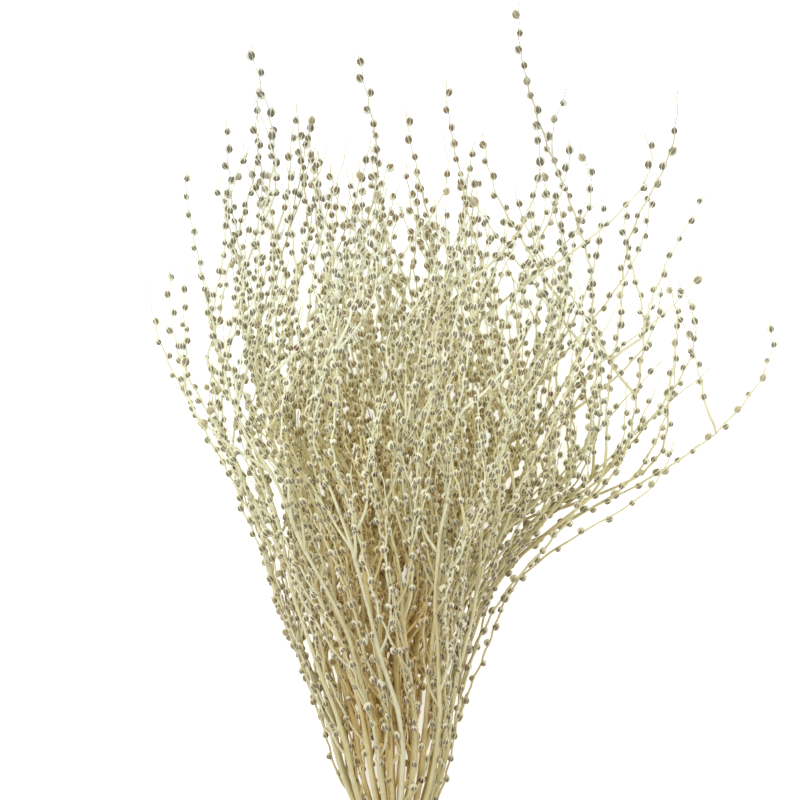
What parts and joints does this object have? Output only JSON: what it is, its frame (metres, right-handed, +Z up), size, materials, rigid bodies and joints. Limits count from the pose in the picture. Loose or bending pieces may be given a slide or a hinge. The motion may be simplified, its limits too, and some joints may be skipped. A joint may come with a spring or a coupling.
{
  "type": "bunch of dried grass stems",
  "caption": "Loose bunch of dried grass lying on its side: straight gathered stems fan out into forked wiry wands set with small round husked seeds.",
  "frame": {"origin": "centre of the bunch's bounding box in plan, at the height of the surface that it lies on", "axes": "+Y along the bunch from the cut ends to the tips, +Z up from the surface, +X across the bunch"},
  "size_m": [0.3447, 0.5338, 0.1933],
  "materials": {
    "dried_straw": "matt"
  },
  "bodies": {
    "root": {"stem_01": "dried_straw", "stem_02": "dried_straw", "stem_03": "dried_straw", "stem_04": "dried_straw", "stem_05": "dried_straw", "stem_06": "dried_straw", "stem_07": "dried_straw", "stem_08": "dried_straw", "stem_09": "dried_straw", "stem_10": "dried_straw", "stem_11": "dried_straw", "stem_12": "dried_straw", "stem_13": "dried_straw", "stem_14": "dried_straw", "stem_15": "dried_straw", "stem_16": "dried_straw", "stem_17": "dried_straw", "stem_18": "dried_straw", "stem_19": "dried_straw", "stem_20": "dried_straw", "stem_21": "dried_straw", "stem_22": "dried_straw", "stem_23": "dried_straw", "stem_24": "dried_straw", "stem_25": "dried_straw", "stem_26": "dried_straw", "stem_27": "dried_straw", "stem_28": "dried_straw", "stem_29": "dried_straw", "stem_30": "dried_straw", "stem_31": "dried_straw"}
  },
  "joints": []
}
